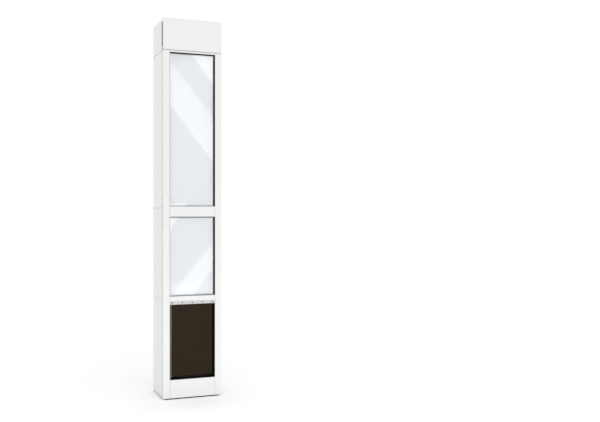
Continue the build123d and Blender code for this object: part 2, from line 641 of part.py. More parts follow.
def make_core():
    """The head plate on top of the body, and the four walls that the cap slides on."""
    with BuildPart() as plate:
        half_x = HALF_WIDTH - HEAD_PLATE_INSET
        plate_y = (CAP_FRONT + HEAD_PLATE_INSET, BACK - HEAD_PLATE_INSET)
        add_box((-half_x, half_x), plate_y, (BODY_TOP, BODY_TOP + HEAD_PLATE))
    write(plate, "head_plate")

    z = (BODY_TOP + HEAD_PLATE, CORE_TOP)
    across = (-CORE_HALF_WIDTH, CORE_HALF_WIDTH)
    with BuildPart() as front_wall:
        add_box(across, (CORE_FRONT, CORE_FRONT + CORE_WALL), z)
    write(front_wall, "core_front")

    with BuildPart() as back_wall:
        add_box(across, (CORE_BACK - CORE_WALL, CORE_BACK), z)
        for side in SIDES.values():
            with Locations(Plane((side * CLAMP_BOLT_X, CORE_BACK, CLAMP_BOLT_Z), z_dir=(0, 1, 0))):
                Cylinder(CLAMP_BOLT_RADIUS + 0.1, 4 * CORE_WALL, mode=Mode.SUBTRACT)
    write(back_wall, "core_back")

    with BuildPart() as side_walls:
        for side in SIDES.values():
            x = mirrored((CORE_HALF_WIDTH - CORE_WALL, CORE_HALF_WIDTH), side)
            add_box(x, (CORE_FRONT + CORE_WALL, CORE_BACK - CORE_WALL), z)
    write(side_walls, "core_sides")


def make_cap_seal():
    """Soft strips round the head plate, just inside the cap's foot."""
    strip, side_gap = 1.8, 1.0
    half_x = CAP_INNER_X - side_gap
    half_y = CAP_INNER_BACK - side_gap
    z = (BODY_TOP, CAP_BOTTOM - RUNNING_GAP)
    with BuildPart() as seal:
        for side in SIDES.values():
            add_box(mirrored((half_x - strip, half_x), side), (-half_y, half_y), z)
            add_box((strip - half_x, half_x - strip), mirrored((half_y - strip, half_y), side), z)
    write(seal, "cap_seal")


def make_cap_glides():
    """Nylon pads near the core's top, which guide the cap over its whole travel."""
    z = (CORE_TOP - 55.0, CORE_TOP - 5.0)
    with BuildPart() as glides:
        for side in SIDES.values():
            x = mirrored((CORE_HALF_WIDTH, CAP_INNER_X - RUNNING_GAP), side)
            for y in ((-60.0, -20.0), (40.0, 80.0)):
                add_box(x, y, z)
            pad_x = mirrored((75.0, 105.0), side)
            add_box(pad_x, (CAP_INNER_FRONT + RUNNING_GAP, CORE_FRONT), z)
    write(glides, "cap_glides")


def make_cap_clamps():
    """The two clamp bolts through the cap's slots, with their washers, spacers and nuts."""
    floor_out = BACK - DIMPLE_DEPTH
    floor_in = floor_out - CAP_WALL
    washer = 1.2
    places = [(side * CLAMP_BOLT_X, CLAMP_BOLT_Z) for side in SIDES.values()]

    def disc(radius, y, hole=None):
        """A disc on the bolt's axis between two depths, with a hole if one is given."""
        with Locations(*[Plane((px, y[0], pz), z_dir=(0, 1, 0)) for px, pz in places]):
            Cylinder(radius, length(y), align=STANDING)
            if hole:
                Cylinder(hole, 3 * length(y), mode=Mode.SUBTRACT)

    head_y = (floor_out + RUNNING_GAP + washer, floor_out + RUNNING_GAP + washer + 4.5)
    nut_y = (CORE_BACK - CORE_WALL - 5.0, CORE_BACK - CORE_WALL)
    with BuildPart() as bolts:
        disc(CLAMP_BOLT_RADIUS, (nut_y[0] - 2.0, head_y[0]))
        disc(7.0, head_y)
        fillet(bolts.edges().group_by(Axis.Y)[-1], 1.5)
        with Locations(*[Plane((px, head_y[1], pz), z_dir=(0, 1, 0)) for px, pz in places]):
            with Locations((0, 0, -1.0)):
                Box(10.0, 1.6, 3.0, mode=Mode.SUBTRACT)
    write(bolts, "cap_clamp_bolts")

    with BuildPart() as washers:
        disc(8.0, (floor_out + RUNNING_GAP, head_y[0]), CLAMP_BOLT_RADIUS + 0.1)
    write(washers, "cap_clamp_washers")

    with BuildPart() as spacers:
        disc(10.0, (CORE_BACK, floor_in - RUNNING_GAP), CLAMP_BOLT_RADIUS + 0.1)
    write(spacers, "cap_clamp_spacers")

    with BuildPart() as nuts:
        for px, pz in places:
            with BuildSketch(Plane((px, nut_y[0], pz), z_dir=(0, 1, 0))):
                RegularPolygon(5.8, 6)
                Circle(CLAMP_BOLT_RADIUS + 0.1, mode=Mode.SUBTRACT)
            extrude(amount=length(nut_y))
    write(nuts, "cap_clamp_nuts")


# ---------------------------------------------------------------- edge bolt in the cap
TRAY_FLOOR = (-HALF_WIDTH + TRAY_DEPTH - TRAY_WALL, -HALF_WIDTH + TRAY_DEPTH)
STEM_WIDTH = 5.0
STEM_SLOT = 6.0


def make_bolt_tray():
    """The open tray let into the cap's left wall, with a screwed tab at its foot."""
    with BuildPart() as tray:
        outer_y = (TRAY_Y[0] + TRAY_PLAY, TRAY_Y[1] - TRAY_PLAY)
        outer_z = (TRAY_FOOT + TRAY_PLAY, TRAY_HEAD - TRAY_PLAY)
        add_box((-HALF_WIDTH, TRAY_FLOOR[1]), outer_y, outer_z)
        add_box(
            (-HALF_WIDTH, TRAY_FLOOR[0]),
            (outer_y[0] + TRAY_WALL, outer_y[1] - TRAY_WALL),
            (outer_z[0] + TRAY_WALL, outer_z[1] - TRAY_WALL),
            Mode.SUBTRACT,
        )
        slot_y = (CHANNEL_Y - STEM_SLOT / 2, CHANNEL_Y + STEM_SLOT / 2)
        slot_z = (KNOB_FOOT + 1.0, KNOB_FOOT + KNOB_HEIGHT + BOLT_TRAVEL + 1.0)
        add_box(TRAY_FLOOR, slot_y, slot_z, Mode.SUBTRACT)
        tab_x = (-CAP_INNER_X, -CAP_INNER_X + 4.0)
        add_box(tab_x, (CHANNEL_Y - 6, CHANNEL_Y + 6), (BODY_TOP + HEAD_PLATE + 1.0, outer_z[0]))
        with Locations(facing_left(tab_x[0], CHANNEL_Y, TRAY_TAB_SCREW_Z)):
            Cylinder(TRAY_SCREW_RADIUS, 20.0, mode=Mode.SUBTRACT)
    write(tray, "bolt_tray")

    play = 0.08
    with BuildPart() as screw:
        head = Plane((-HALF_WIDTH, CHANNEL_Y, TRAY_TAB_SCREW_Z), x_dir=(0, 1, 0), z_dir=(0, 0, 1))
        with BuildSketch(head) as half:
            with BuildLine():
                Polyline(
                    (0, 0),
                    (TRAY_HEAD_RADIUS - play, 0),
                    (TRAY_SCREW_RADIUS - play, TRAY_SCREW_RADIUS - TRAY_HEAD_RADIUS),
                    (TRAY_SCREW_RADIUS - play, -6.5),
                    (0, -6.5),
                    close=True,
                )
            make_face()
        revolve(half.sketch, axis=Axis((-HALF_WIDTH, CHANNEL_Y, TRAY_TAB_SCREW_Z), (1, 0, 0)))
    write(screw, "bolt_tray_screw")


def make_bolt():
    """The sliding bolt: its rod, the carrier on the rod and the finger knob in the tray."""
    carrier_x = (TRAY_FLOOR[1] + RUNNING_GAP, TRAY_FLOOR[1] + RUNNING_GAP + 10.0)
    carrier_z = (KNOB_FOOT + 3.0, KNOB_FOOT + 3.0 + CARRIER_HEIGHT)
    with BuildPart() as rod:
        with Locations((BOLT_X, CHANNEL_Y, BOLT_FOOT)):
            Cylinder(BOLT_RADIUS, HEIGHT - 0.5 - BOLT_FOOT, align=STANDING)
        chamfer(rod.faces().sort_by(Axis.Z)[-1].edges(), 1.0)
    write(rod, "bolt_rod")

    with BuildPart() as carrier:
        add_box(carrier_x, (CHANNEL_Y - CARRIER_WIDTH / 2, CHANNEL_Y + CARRIER_WIDTH / 2), carrier_z)
        with Locations((BOLT_X, CHANNEL_Y, middle(carrier_z))):
            Cylinder(BOLT_RADIUS + 0.02, 2 * CARRIER_HEIGHT, mode=Mode.SUBTRACT)
    write(carrier, "bolt_carrier")

    with BuildPart() as knob:
        knob_x = (-HALF_WIDTH + 1.5, TRAY_FLOOR[0] - RUNNING_GAP)
        knob_z = (KNOB_FOOT, KNOB_FOOT + KNOB_HEIGHT)
        add_box(knob_x, (CHANNEL_Y - KNOB_WIDTH / 2, CHANNEL_Y + KNOB_WIDTH / 2), knob_z)
        fillet(knob.faces().sort_by(Axis.X)[0].edges(), 1.5)
        for rib in range(3):
            groove_z = KNOB_FOOT + 5.0 + 4.5 * rib
            groove_x = (knob_x[0], knob_x[0] + 1.2)
            add_box(groove_x, (CHANNEL_Y - 3.0, CHANNEL_Y + 3.0), (groove_z, groove_z + 1.6), Mode.SUBTRACT)
        stem_y = (CHANNEL_Y - STEM_WIDTH / 2, CHANNEL_Y + STEM_WIDTH / 2)
        add_box((knob_x[1], carrier_x[0]), stem_y, carrier_z)
    write(knob, "bolt_knob")

    with BuildPart() as bush:
        with Locations((BOLT_X, CHANNEL_Y, HEIGHT)):
            Cylinder(5.9, CAP_WALL, align=HANGING)
        with Locations((BOLT_X, CHANNEL_Y, HEIGHT - CAP_WALL)):
            Cylinder(9.0, 3.0, align=HANGING)
            Cylinder(BOLT_HOLE_RADIUS, 20.0, mode=Mode.SUBTRACT)
    write(bush, "bolt_bush")


# ---------------------------------------------------------------- the whole panel
def main():
    os.makedirs("parts", exist_ok=True)
    for name, side in SIDES.items():
        make_stile(f"{name}_stile", side)
        make_side_panel(f"{name}_panel_lower", side, (BASE_SEAL_HEIGHT, LOWER_SEAM))
        make_side_panel(f"{name}_panel_middle", side, (LOWER_SEAM, UPPER_SEAM))
        make_side_panel(f"{name}_panel_upper", side, (UPPER_SEAM, BODY_TOP))
    for name, (z, count) in FRONT_RAILS.items():
        make_front_rail(name, z, count)
    make_transom("threshold", (BASE_SEAL_HEIGHT, SILL_TOP))
    make_transom("lower_transom", (FLAP_HEAD, LOWER_WINDOW_SILL))
    make_transom("mid_transom", (LOWER_WINDOW_HEAD, UPPER_WINDOW_SILL))
    make_transom("top_transom", (UPPER_WINDOW_HEAD, BODY_TOP))
    make_corner_keys()
    make_key_screws()
    make_base_seal()
    make_keeper()
    make_edge_piles()
    make_glazing("lower", LOWER_WINDOW_SILL, LOWER_WINDOW_HEAD)
    make_glazing("upper", UPPER_WINDOW_SILL, UPPER_WINDOW_HEAD)
    make_flap_frame()
    make_edge_strip()
    make_flap()
    make_clamp_bar()
    make_cap_shell()
    make_core()
    make_cap_seal()
    make_cap_glides()
    make_cap_clamps()
    make_bolt_tray()
    make_bolt()


main()
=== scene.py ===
"""Looks for the sliding-door pet panel: materials, soft and detailed pieces, light and camera."""
import math
import random

import bmesh
import bpy
from mathutils import Matrix, Vector


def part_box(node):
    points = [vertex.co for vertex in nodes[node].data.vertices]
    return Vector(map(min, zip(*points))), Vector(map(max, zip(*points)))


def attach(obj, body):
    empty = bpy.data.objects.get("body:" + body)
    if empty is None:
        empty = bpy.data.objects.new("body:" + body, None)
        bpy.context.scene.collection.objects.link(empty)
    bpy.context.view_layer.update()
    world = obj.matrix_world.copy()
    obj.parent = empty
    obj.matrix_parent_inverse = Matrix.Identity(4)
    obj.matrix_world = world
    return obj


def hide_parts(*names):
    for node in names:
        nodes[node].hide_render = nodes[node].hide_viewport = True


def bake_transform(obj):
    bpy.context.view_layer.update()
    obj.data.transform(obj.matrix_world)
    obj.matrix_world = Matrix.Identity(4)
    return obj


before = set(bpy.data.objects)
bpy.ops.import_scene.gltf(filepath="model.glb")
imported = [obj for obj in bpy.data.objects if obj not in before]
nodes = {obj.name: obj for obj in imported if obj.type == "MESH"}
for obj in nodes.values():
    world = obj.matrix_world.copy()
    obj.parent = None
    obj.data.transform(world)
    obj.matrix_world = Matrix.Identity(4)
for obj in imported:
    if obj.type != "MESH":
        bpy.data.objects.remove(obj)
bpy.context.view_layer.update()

scene = bpy.context.scene
MM = 0.001

# Places that the CAD model gives
flap_low, flap_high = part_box("flap")
heel_low, heel_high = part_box("flap_heel")
pane_low, pane_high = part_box("upper_outer_pane")
middle_panel_low, middle_panel_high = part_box("left_panel_middle")
half_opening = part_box("bottom_rail")[1].x
glass_front = pane_low.y
flap_y = (flap_low.y + flap_high.y) / 2


# ---------------------------------------------------------------- materials
class Finish:
    """A Principled material whose patterns read the piece's own coordinates, in metres."""

    def __init__(self, name, base, roughness, **sockets):
        self.material = bpy.data.materials.new(name)
        self.material.use_nodes = True
        self.tree = self.material.node_tree
        self.shader = self.tree.nodes["Principled BSDF"]
        self.coordinates = self.tree.nodes.new("ShaderNodeTexCoord").outputs["Object"]
        self.height = None
        self.shader.inputs["Base Color"].default_value = (*base, 1.0)
        self.shader.inputs["Roughness"].default_value = roughness
        for socket, value in sockets.items():
            self.shader.inputs[socket.replace("_", " ")].default_value = value

    def link(self, output, node, socket):
        """Joins an output to a node's input, given by its name or its number."""
        self.tree.links.new(output, node.inputs[socket])

    def noise(self, size, stretch=(1.0, 1.0, 1.0), detail=3.0):
        """A noise pattern with features of that size in metres, drawn out along an axis by stretch."""
        place = self.tree.nodes.new("ShaderNodeMapping")
        place.inputs["Scale"].default_value = [1.0 / (size * factor) for factor in stretch]
        self.link(self.coordinates, place, "Vector")
        pattern = self.tree.nodes.new("ShaderNodeTexNoise")
        pattern.inputs["Scale"].default_value = 1.0
        pattern.inputs["Detail"].default_value = detail
        self.link(place.outputs["Vector"], pattern, "Vector")
        return pattern.outputs["Fac"]

    def cells(self, size):
        """A pattern of rounded cells of that size in metres."""
        pattern = self.tree.nodes.new("ShaderNodeTexVoronoi")
        pattern.inputs["Scale"].default_value = 1.0 / size
        self.link(self.coordinates, pattern, "Vector")
        return pattern.outputs["Distance"]

    def coordinate(self, axis):
        """One of the piece's own coordinates, "X", "Y" or "Z"."""
        split = self.tree.nodes.new("ShaderNodeSeparateXYZ")
        self.link(self.coordinates, split, "Vector")
        return split.outputs[axis]

    def along(self, axis, start, end):
        """A ramp from 0 to 1 between two places on an axis, in metres."""
        ramp = self.tree.nodes.new("ShaderNodeMapRange")
        ramp.inputs["From Min"].default_value = start
        ramp.inputs["From Max"].default_value = end
        self.link(self.coordinate(axis), ramp, "Value")
        return ramp.outputs["Result"]

    def near(self, axis, place, reach):
        """1 within that reach of a place on an axis, in metres, and 0 elsewhere."""
        band = self.tree.nodes.new("ShaderNodeMath")
        band.operation = "COMPARE"
        self.link(self.coordinate(axis), band, 0)
        band.inputs[1].default_value = place
        band.inputs[2].default_value = reach
        return band.outputs["Value"]

    def times(self, first, second):
        """The product of two patterns."""
        product = self.tree.nodes.new("ShaderNodeMath")
        product.operation = "MULTIPLY"
        self.link(first, product, 0)
        self.link(second, product, 1)
        return product.outputs["Value"]

    def remap(self, pattern, low, high, contrast=0.3):
        """Spreads the middle of a pattern over the range low to high."""
        ramp = self.tree.nodes.new("ShaderNodeMapRange")
        ramp.inputs["From Min"].default_value = 0.5 - contrast
        ramp.inputs["From Max"].default_value = 0.5 + contrast
        ramp.inputs["To Min"].default_value = low
        ramp.inputs["To Max"].default_value = high
        self.link(pattern, ramp, "Value")
        return ramp.outputs["Result"]

    def tint(self, pattern, colour):
        """Mixes a colour over the base colour, as much as the pattern says."""
        mix = self.tree.nodes.new("ShaderNodeMix")
        mix.data_type = "RGBA"
        base = self.shader.inputs["Base Color"]
        under, over = [socket for socket in mix.inputs if socket.type == "RGBA"]
        if base.is_linked:
            self.tree.links.new(base.links[0].from_socket, under)
        else:
            under.default_value = base.default_value
        over.default_value = (*colour, 1.0)
        self.link(pattern, mix, "Factor")
        mixed = [socket for socket in mix.outputs if socket.type == "RGBA"][0]
        self.tree.links.new(mixed, base)
        return self

    def gloss(self, pattern, low, high):
        """Varies the roughness between two values."""
        self.link(self.remap(pattern, low, high), self.shader, "Roughness")
        return self

    def relief(self, pattern, depth):
        """Adds a bump of that depth in metres on top of those already there."""
        bump = self.tree.nodes.new("ShaderNodeBump")
        bump.inputs["Strength"].default_value = 1.0
        bump.inputs["Distance"].default_value = depth
        self.link(pattern, bump, "Height")
        if self.height is not None:
            self.link(self.height, bump, "Normal")
        self.height = bump.outputs["Normal"]
        self.link(self.height, self.shader, "Normal")
        return self

    def let_lamps_through(self, share):
        """Lets that share of the lamps' light straight through, as thin clear glass does."""
        path = self.tree.nodes.new("ShaderNodeLightPath")
        clear = self.tree.nodes.new("ShaderNodeBsdfTransparent")
        clear.inputs["Color"].default_value = (share, share, share, 1.0)
        mix = self.tree.nodes.new("ShaderNodeMixShader")
        self.link(path.outputs["Is Shadow Ray"], mix, "Fac")
        self.link(self.shader.outputs["BSDF"], mix, 1)
        self.link(clear.outputs["BSDF"], mix, 2)
        self.link(mix.outputs["Shader"], self.tree.nodes["Material Output"], "Surface")
        return self


# How far a pattern is drawn out along a piece that runs that way
ALONG_X = (40.0, 1.0, 1.0)
ALONG_Z = (1.0, 1.0, 60.0)

# The white powder coat and what lies on it
COAT_WHITE = (0.735, 0.735, 0.728)
COAT_CLOUD = (0.705, 0.707, 0.70)
COAT_LINE = (0.75, 0.75, 0.745)
GRIME_COLOUR = (0.6, 0.585, 0.55)
GRIME_TOP = 90 * MM
# Painted shade: a darker line along each hairline joint, standing in for the shade in its groove
SEAM_SHADE = (0.3, 0.3, 0.295)
RAIL_SEAM = 0.9 * MM
LOW_PANEL_SEAM = 0.6 * MM
HIGH_PANEL_SEAM = 1.2 * MM


def powder_coat(name, stretch, seams=()):
    """White powder coat on an extrusion: orange peel, faint die lines and a trace of grime low down.

    seams lists the hairline joints, as (axis, place, reach) in metres, along which shade is painted into the
    coat.
    """
    coat = Finish(name, COAT_WHITE, 0.36, Specular_IOR_Level=0.4)
    coat.tint(coat.remap(coat.noise(0.11), 0.0, 0.5), COAT_CLOUD)
    coat.tint(coat.remap(coat.noise(0.004, stretch), 0.0, 0.25), COAT_LINE)
    specks = coat.remap(coat.noise(0.012, detail=6.0), 0.0, 0.35)
    coat.tint(coat.times(coat.along("Z", GRIME_TOP, 0.0), specks), GRIME_COLOUR)
    for axis, place, reach in seams:
        # Painted shade along each joint
        coat.tint(coat.near(axis, place, reach), SEAM_SHADE)
    coat.gloss(coat.noise(0.03, detail=5.0), 0.31, 0.42)
    coat.relief(coat.noise(0.0022, detail=2.0), 0.00003)
    coat.relief(coat.noise(0.0016, stretch), 0.00002)
    return coat.material


def rubber(name, base, roughness=0.62, level=0.12):
    """Black rubber with a fine moulded skin and a dusty bloom."""
    skin = Finish(name, base, roughness, Specular_IOR_Level=level)
    skin.tint(skin.remap(skin.noise(0.02, detail=6.0), 0.0, 0.4), tuple(2.2 * c for c in base))
    skin.gloss(skin.noise(0.006, detail=4.0), roughness - 0.1, roughness + 0.12)
    skin.relief(skin.noise(0.0006, detail=3.0), 0.00004)
    return skin.material


def moulded(name, base, roughness=0.5, level=0.3, glow=0.0):
    """Moulded plastic with a fine spark-eroded grain.

    glow is painted light: an even emission that brightens a strip between the two panes, which lies in the
    shade of the black liner.
    """
    skin = Finish(name, base, roughness, Specular_IOR_Level=level)
    skin.shader.inputs["Emission Color"].default_value = (*base, 1.0)
    skin.shader.inputs["Emission Strength"].default_value = glow
    skin.tint(skin.remap(skin.noise(0.03), 0.0, 0.5), tuple(0.8 * c for c in base))
    skin.gloss(skin.noise(0.01), roughness - 0.08, roughness + 0.1)
    skin.relief(skin.cells(0.0007), 0.00005)
    return skin.material


def metal(name, base, roughness, stretch=(1.0, 1.0, 1.0), blotch=0.75):
    """Bare or anodised metal with brushing along one axis and slight clouding."""
    skin = Finish(name, base, roughness, Metallic=1.0)
    skin.tint(skin.remap(skin.noise(0.02, detail=5.0), 0.0, 0.6), tuple(blotch * c for c in base))
    skin.tint(skin.remap(skin.noise(0.0005, stretch), 0.0, 0.35), tuple(min(1.0, 1.2 * c) for c in base))
    skin.gloss(skin.noise(0.0008, stretch, detail=4.0), roughness - 0.08, roughness + 0.14)
    skin.relief(skin.noise(0.0004, stretch), 0.00001)
    return skin.material


def flap_vinyl():
    """Smoke-brown flexible vinyl with a satin skin, a slow ripple and the odd scuff."""
    skin = Finish("flap_vinyl", (0.0165, 0.0108, 0.0035), 0.36, Specular_IOR_Level=0.1)
    skin.tint(skin.remap(skin.noise(0.06, (1.0, 1.0, 3.0)), 0.0, 0.6), (0.0145, 0.008, 0.002))
    skin.tint(skin.remap(skin.noise(0.003, (1.0, 1.0, 8.0), detail=6.0), 0.0, 0.12), (0.05, 0.04, 0.03))
    skin.gloss(skin.noise(0.02, (1.0, 1.0, 4.0), detail=5.0), 0.3, 0.46)
    skin.relief(skin.noise(0.05, (1.0, 1.0, 2.0), detail=1.0), 0.0004)
    skin.relief(skin.noise(0.0009), 0.00002)
    return skin.material


def clear_glass():
    """The outer pane: clear float glass with a trace of unevenness."""
    pane = Finish(
        "clear_glass", (0.985, 0.992, 1.0), 0.015, IOR=1.5, Transmission_Weight=1.0, Specular_IOR_Level=1.0
    )
    pane.gloss(pane.noise(0.09), 0.006, 0.018)
    pane.relief(pane.noise(0.25, detail=1.0), 0.00002)
    pane.let_lamps_through(0.98)
    return pane.material


def satin_glass():
    """The inner pane: satin privacy glass, etched on its faces, which blurs all behind it, with painted
    light: a faint even glow.
    """
    pane = Finish(
        "satin_glass",
        (0.94, 0.955, 0.985),
        0.6,
        IOR=1.5,
        Transmission_Weight=0.08,
        Coat_Weight=1.0,
        Coat_IOR=2.3,
        Coat_Roughness=0.012,
        # Painted light: a faint even emission that brightens the whole pane
        Emission_Color=(0.9, 0.95, 1.0, 1.0),
        Emission_Strength=0.1,
    )
    pane.tint(pane.remap(pane.noise(0.2), 0.0, 0.5), (0.925, 0.945, 0.98))
    pane.gloss(pane.noise(0.05), 0.55, 0.65)
    pane.relief(pane.noise(0.0008), 0.00002)
    return pane.material


def pile_fabric(name, base):
    """Short dense weatherstrip pile."""
    tufts = Finish(name, base, 0.9, Sheen_Weight=0.4, Specular_IOR_Level=0.1)
    tufts.tint(tufts.remap(tufts.noise(0.0012, detail=5.0), 0.0, 0.7), tuple(0.68 * c for c in base))
    tufts.gloss(tufts.noise(0.002), 0.82, 0.97)
    tufts.relief(tufts.noise(0.0006, (1.0, 1.0, 0.6), detail=5.0), 0.0004)
    return tufts.material


RAIL_SEAMS = [("X", side * half_opening, RAIL_SEAM) for side in (-1, 1)]
PANEL_SEAMS = [("Z", middle_panel_low.z, LOW_PANEL_SEAM), ("Z", middle_panel_high.z, HIGH_PANEL_SEAM)]
FINISHES = {
    "white_upright": powder_coat("white_coat_upright", ALONG_Z),
    "white_cross": powder_coat("white_coat_cross", ALONG_X, RAIL_SEAMS),
    "white_panel": powder_coat("white_coat_panel", ALONG_Z, PANEL_SEAMS),
    "mill": metal("mill_aluminium", (0.68, 0.69, 0.7), 0.38, ALONG_Z),
    "bar": metal("satin_anodised_bar", (0.60, 0.595, 0.585), 0.42, ALONG_X, 0.9),
    "strip": metal("dark_anodised_strip", (0.16, 0.155, 0.145), 0.45, ALONG_Z, 0.85),
    "zinc": metal("zinc_plate", (0.62, 0.62, 0.6), 0.4, ALONG_Z, 0.8),
    "screw": metal("dark_zinc_screws", (0.19, 0.185, 0.18), 0.38),
    "black_screw": metal("black_oxide_screw", (0.02, 0.02, 0.02), 0.5),
    "steel": metal("bright_steel", (0.55, 0.55, 0.56), 0.3, ALONG_Z),
    # The spacer's glow is painted light, lifting it out of the liner's shade
    "spacer": moulded("pale_spacer", (0.86, 0.87, 0.89), 0.5, glow=0.13),
    "rubber": rubber("black_rubber", (0.006, 0.006, 0.006)),
    "magnet": rubber("magnet_rubber", (0.006, 0.006, 0.006), 0.5, 0.02),
    "black": moulded("black_plastic", (0.006, 0.006, 0.0055), 0.5, 0.12),
    "frame_black": moulded("matt_black_frame", (0.0045, 0.0042, 0.0038), 0.6, 0.0),
    # The bolt tray is near black, partly painted shade: the slot it lies in reads as a dark line
    "tray": moulded("black_tray_slot_shade", (0.008, 0.008, 0.008), 0.55, 0.1),
    "white": moulded("white_plastic", (0.8, 0.8, 0.795), 0.45),
    "pile": pile_fabric("pale_pile", (0.66, 0.66, 0.65)),
    # The cap seal is a real grey pile, made dark grey to paint the shade in the seam under the cap
    "seal": pile_fabric("grey_pile_seam_shade", (0.16, 0.16, 0.155)),
    "clear": clear_glass(),
    "satin": satin_glass(),
    "vinyl": flap_vinyl(),
}
NODE_FINISH = {
    "white_upright": "left_stile right_stile cap_shell",
    "white_panel": "left_panel_lower left_panel_middle left_panel_upper "
    "right_panel_lower right_panel_middle right_panel_upper",
    "white_cross": "bottom_rail lower_rail mid_rail top_rail "
    "threshold lower_transom mid_transom top_transom",
    "mill": "corner_keys head_plate core_front core_back core_sides",
    "bar": "flap_clamp_bar",
    "strip": "flap_edge_strip",
    "zinc": "keeper_plate",
    "screw": "rail_screws keeper_screws flap_clamp_screws bolt_tray_screw",
    "steel": "cap_clamp_bolts cap_clamp_nuts cap_clamp_washers bolt_rod",
    "spacer": "upper_spacer lower_spacer",
    "rubber": "base_seal upper_gasket lower_gasket upper_setting_blocks lower_setting_blocks",
    "magnet": "flap_frame_magnet flap_magnet",
    "frame_black": "flap_frame",
    "black": "cap_glides cap_clamp_spacers bolt_carrier bolt_knob",
    "tray": "bolt_tray",
    "white": "upper_bead lower_bead bolt_bush",
    "pile": "left_edge_pile right_edge_pile",
    "seal": "cap_seal",
    "clear": "upper_outer_pane lower_outer_pane",
    "satin": "upper_inner_pane lower_inner_pane",
    "vinyl": "flap flap_heel",
}


def wear(piece, finish):
    """Puts one finish on every face of a piece."""
    piece.data.materials.clear()
    piece.data.materials.append(FINISHES[finish])


for finish, names in NODE_FINISH.items():
    for name in names.split():
        wear(nodes[name], finish)


# ---------------------------------------------------------------- mesh helpers
def closed_mesh(mesh, name):
    """Turns a bmesh into mesh data with its faces outward."""
    bmesh.ops.recalc_face_normals(mesh, faces=mesh.faces)
    data = bpy.data.meshes.new(name)
    mesh.to_mesh(data)
    mesh.free()
    return data


def piece_from(mesh, name, finish, body=None, smooth=30.0):
    """Makes a named object from a bmesh, with its finish and its body."""
    data = closed_mesh(mesh, name)
    piece = bpy.data.objects.new(name, data)
    scene.collection.objects.link(piece)
    wear(piece, finish)
    data.polygons.foreach_set("use_smooth", [True] * len(data.polygons))
    data.set_sharp_from_angle(angle=math.radians(smooth))
    if body:
        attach(piece, body)
    return piece


def loft(mesh, sections, hoop=False):
    """Joins sections of equal length into a skin, with its ends closed, or joined up into a hoop."""
    rings = [[mesh.verts.new(point) for point in section] for section in sections]
    count = len(rings[0])
    followers = rings[1:] + rings[:1] if hoop else rings[1:]
    for ring, following in zip(rings, followers):
        for i in range(count):
            j = (i + 1) % count
            mesh.faces.new((ring[i], ring[j], following[j], following[i]))
    if not hoop:
        mesh.faces.new(rings[0])
        mesh.faces.new(list(reversed(rings[-1])))


# ---------------------------------------------------------------- flap
FLAP_CORNER = 8 * MM
FLAP_HALF_THICKNESS = 1.7 * MM
HEM_HEIGHT = 15 * MM
HEM_RAMP = 3 * MM
HEM_RISE = 0.25 * MM
# The rows of the sheet lie closer together where it bends
BEND_STEP = 1.5 * MM
BEND_ROWS = 28
SHEET_ROWS = 40
SHEET_COLUMNS = 36


def flap_sheet():
    """One flexible sheet from under the clamp bar to the foot, with a thicker hem over the magnet."""
    hem_top = flap_low.z + HEM_HEIGHT
    foot = flap_low.z
    corner_top = foot + FLAP_CORNER
    levels = [heel_high.z, heel_low.z + 1.5 * MM, heel_low.z + 1.0 * MM]
    fine = [heel_low.z - BEND_STEP * i for i in range(BEND_ROWS)]
    span = hem_top + HEM_RAMP - fine[-1]
    coarse = [fine[-1] + span * (i + 1) / SHEET_ROWS for i in range(SHEET_ROWS)]
    hem = [hem_top + HEM_RAMP / 2, hem_top, foot + FLAP_CORNER * 1.3]
    rounded = [foot + FLAP_CORNER * (1 - math.sin(math.radians(a))) for a in range(0, 91, 10)]
    levels += fine + coarse + hem + rounded

    def half_width(z):
        """The heel is wider than the flap, and the flap's foot has rounded corners."""
        if z > heel_low.z + 0.5 * MM:
            return heel_high.x
        if z > corner_top:
            return flap_high.x
        drop = (corner_top - z) / FLAP_CORNER
        return flap_high.x - FLAP_CORNER * (1 - math.sqrt(max(0.0, 1 - drop * drop)))

    def half_thickness(z):
        """The hem is a little thicker than the rest of the sheet."""
        rise = min(1.0, max(0.0, (hem_top + HEM_RAMP - z) / HEM_RAMP))
        return FLAP_HALF_THICKNESS + HEM_RISE * rise

    def ripple(x, z):
        """The sheet hangs a little wavy between its clamped top and its magnet."""
        free = math.sin(math.pi * min(1.0, max(0.0, (heel_low.z - z) / (heel_low.z - hem_top))))
        return free * MM * (0.5 * math.sin(x / 0.042 + 0.7) + 0.3 * math.sin(x / 0.019 + z / 0.11))

    mesh = bmesh.new()
    sections = []
    for z in levels:
        reach, depth = half_width(z), half_thickness(z)
        across = [-reach + 2 * reach * i / SHEET_COLUMNS for i in range(SHEET_COLUMNS + 1)]
        front = [(x, flap_y - depth + ripple(x, z), z) for x in across]
        back = [(x, flap_y + depth + ripple(x, z), z) for x in reversed(across)]
        sections.append(front + back)
    loft(mesh, sections)
    sheet = piece_from(mesh, "flap_sheet", "vinyl", smooth=50.0)
    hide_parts("flap", "flap_heel")
    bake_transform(sheet)


flap_sheet()


# ---------------------------------------------------------------- screws
SCREW_SIDES = 40
SLIGHT_TURN = 0.001


